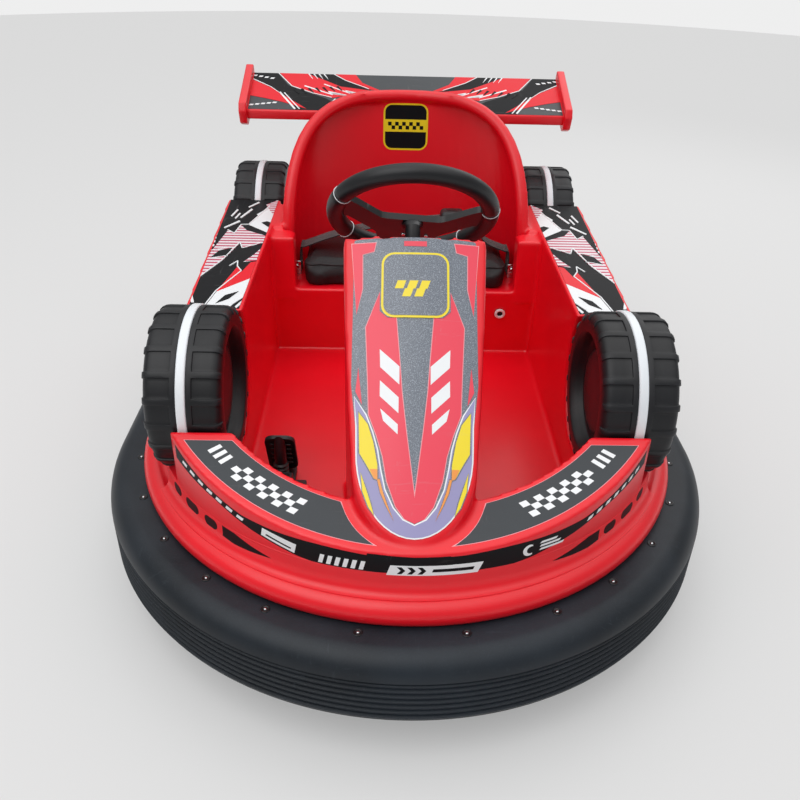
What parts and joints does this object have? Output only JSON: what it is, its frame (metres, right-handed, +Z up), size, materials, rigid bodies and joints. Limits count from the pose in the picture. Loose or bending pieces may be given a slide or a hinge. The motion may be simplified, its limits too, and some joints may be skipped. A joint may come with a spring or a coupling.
{
  "type": "bumper car",
  "caption": "Battery bumper car with a ribbed rubber ring, open footwell, bucket seat, steering wheel, dummy racing wheels and a rear wing.",
  "frame": {"origin": "on the floor, in the middle of the bumper ring's outline", "axes": "+Z up, -Y to the front, +X to the driver's left; mirror-symmetric about X = 0 but for the pedal, charge port and belt"},
  "size_m": [1.2, 1.7, 0.8057],
  "materials": {
    "body_red": "glossy moulded red",
    "ring_rubber": "satin black rubber",
    "dummy_black": "satin black moulding",
    "light_white": "white light strip",
    "steel_dark": "dark grey paint",
    "axle_steel": "turned steel",
    "chrome_small": "polished",
    "grip_black": "fine grained black grip",
    "trim_black": "matt black",
    "cushion_black": "black vinyl cover",
    "belt_black": "black webbing",
    "port_white": "white plastic",
    "wheel_tyre": "black rolling tyre",
    "motor_grey": "cast satin",
    "battery_grey": "plain"
  },
  "bodies": {
    "car": {"bumper_ring": "ring_rubber", "ring_rail": "steel_dark", "chassis_plate": "steel_dark", "floor_bearers": "steel_dark", "drive_dome": "steel_dark", "skirt_deck": "body_red", "cockpit_tub": "body_red", "side_pod_left": "body_red", "side_pod_right": "body_red", "front_wing": "body_red", "nose_cowl": "body_red", "seat_pedestal": "body_red", "armrests": "body_red", "seat_shell": "body_red", "seat_cushion": "cushion_black", "lap_belt": "belt_black", "belt_buckle": "trim_black", "belt_anchors": "chrome_small", "tail_fairing": "body_red", "wing_blade": "body_red", "wing_end_plates": "body_red", "wing_struts": "body_red", "dummy_wheel_front_left": "dummy_black", "dummy_wheel_front_right": "dummy_black", "dummy_wheel_rear_left": "dummy_black", "dummy_wheel_rear_right": "dummy_black", "light_strips": "light_white", "column_bearing": "trim_black", "pedal_base": "trim_black", "pedal_pad": "grip_black", "charge_port": "port_white", "battery_block": "battery_grey", "rear_brackets": "steel_dark", "rear_axles": "axle_steel"},
    "steering": {"steering_rim": "grip_black", "steering_spokes": "trim_black", "steering_column": "steel_dark"},
    "drive_unit": {"drive_fork": "steel_dark", "drive_axle": "axle_steel"},
    "drive_wheel": {"drive_tyre": "wheel_tyre", "drive_hub_motor": "motor_grey"},
    "rear_wheel_left": {"rear_tyre_left": "wheel_tyre", "rear_hub_left": "motor_grey"},
    "rear_wheel_right": {"rear_tyre_right": "wheel_tyre", "rear_hub_right": "motor_grey"}
  },
  "joints": [
    {"name": "drive_steer", "type": "hinge", "parent": "car", "child": "drive_unit", "pos_m": [0, -0.52, 0.165], "axis": [0, 0, 1], "range_deg": [-180, 180]},
    {"name": "drive_roll", "type": "hinge", "parent": "drive_unit", "child": "drive_wheel", "pos_m": [0, -0.52, 0.075], "axis": [1, 0, 0], "continuous": true},
    {"name": "steering_turn", "type": "hinge", "parent": "car", "child": "steering", "pos_m": [0, -0.2, 0.685], "axis": [0, 0.7254, 0.6884], "range_deg": [-180, 180]},
    {"name": "rear_roll_left", "type": "hinge", "parent": "car", "child": "rear_wheel_left", "pos_m": [0.29, 0.43, 0.075], "axis": [1, 0, 0], "continuous": true},
    {"name": "rear_roll_right", "type": "hinge", "parent": "car", "child": "rear_wheel_right", "pos_m": [-0.29, 0.43, 0.075], "axis": [1, 0, 0], "continuous": true}
  ],
  "couplings": [
    {"joint": "steering_turn", "follows": "drive_steer", "ratio": 1}
  ]
}
